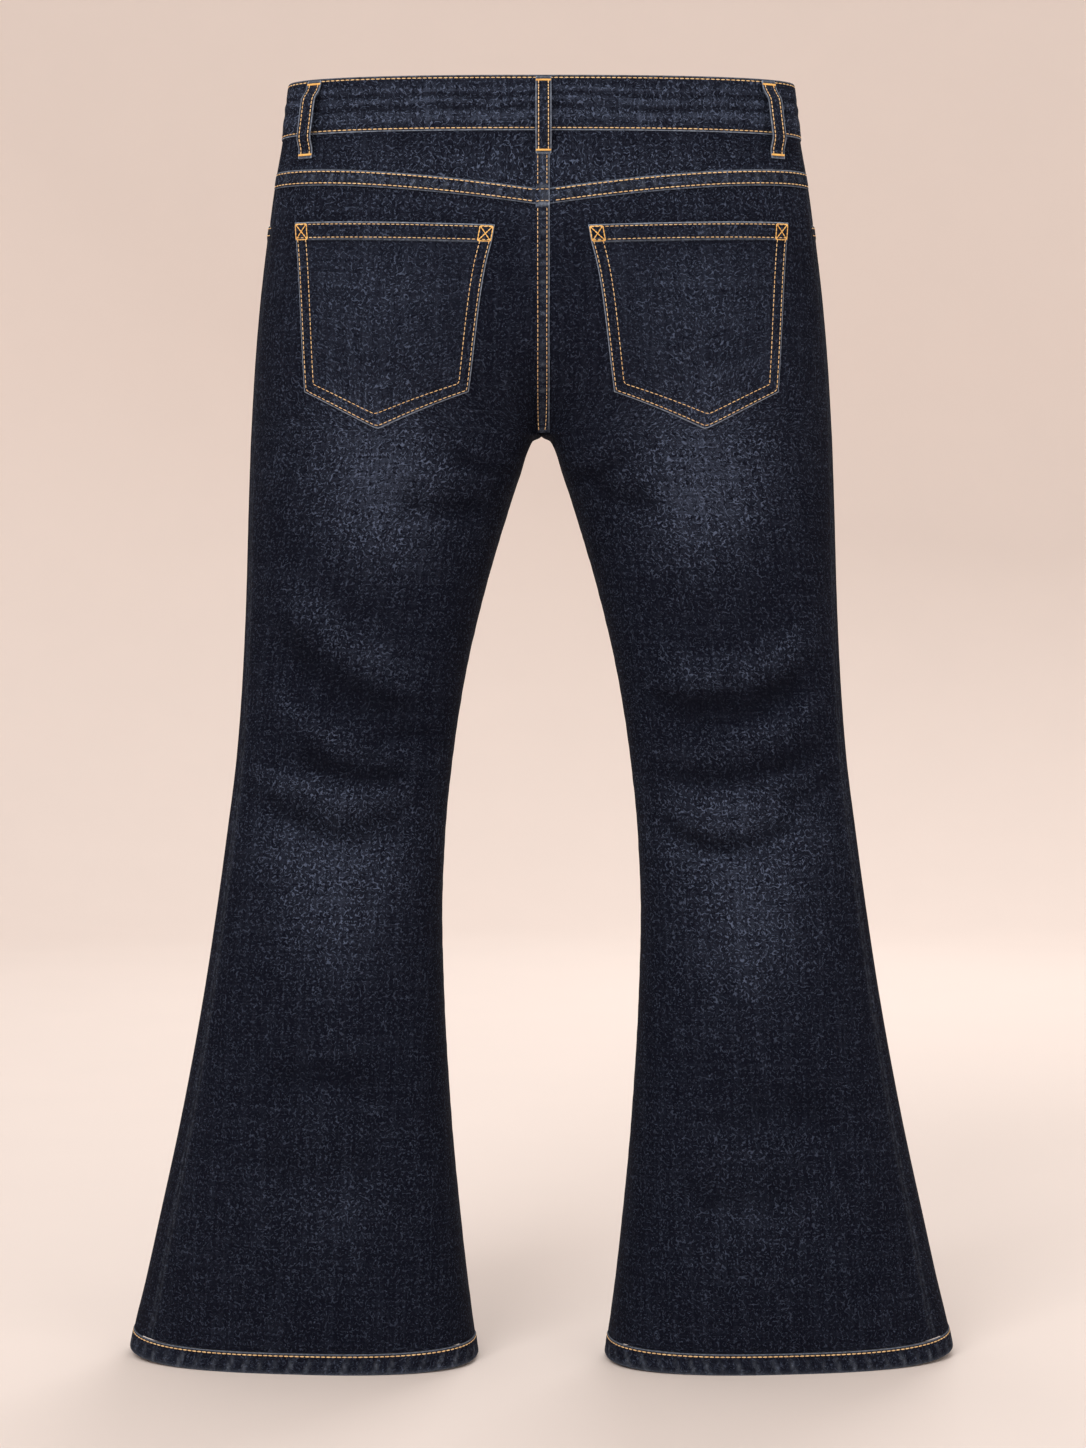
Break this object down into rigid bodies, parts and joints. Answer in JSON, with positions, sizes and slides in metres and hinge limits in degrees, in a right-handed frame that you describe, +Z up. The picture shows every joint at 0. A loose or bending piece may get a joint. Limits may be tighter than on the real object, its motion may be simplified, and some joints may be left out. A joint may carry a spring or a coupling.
{
  "type": "bootcut jeans",
  "caption": "Empty bootcut jeans of heavy denim, filled out and standing on their hems, with yokes, patch pockets, belt loops and a buttoned fly.",
  "frame": {"origin": "on the ground, under the middle of the jeans' box, between the two hems", "axes": "+Z up; -Y towards the back of the jeans, +Y towards the fly; +X towards the wearer's right leg"},
  "size_m": [0.6748, 0.1606, 1.04],
  "materials": {
    "denim": "dark indigo heavy denim with faded thighs and knees",
    "doubled_denim": "dark indigo denim of two layers, edge-worn, sewn with golden thread",
    "zip_tape": "dark woven tape",
    "button_metal": "plain antique brass"
  },
  "bodies": {
    "root": {"left_back_panel": "denim", "right_back_panel": "denim", "left_front_panel": "denim", "right_front_panel": "denim", "left_yoke": "denim", "right_yoke": "denim", "left_pocket_facing": "denim", "right_pocket_facing": "denim", "fly_shield": "denim", "waistband": "doubled_denim", "left_back_pocket": "doubled_denim", "right_back_pocket": "doubled_denim", "left_hem": "doubled_denim", "right_hem": "doubled_denim", "loop_back": "doubled_denim", "loop_left_side": "doubled_denim", "loop_right_side": "doubled_denim", "loop_left_front": "doubled_denim", "loop_right_front": "doubled_denim", "fly_zip": "zip_tape", "waist_button": "button_metal"}
  },
  "joints": []
}
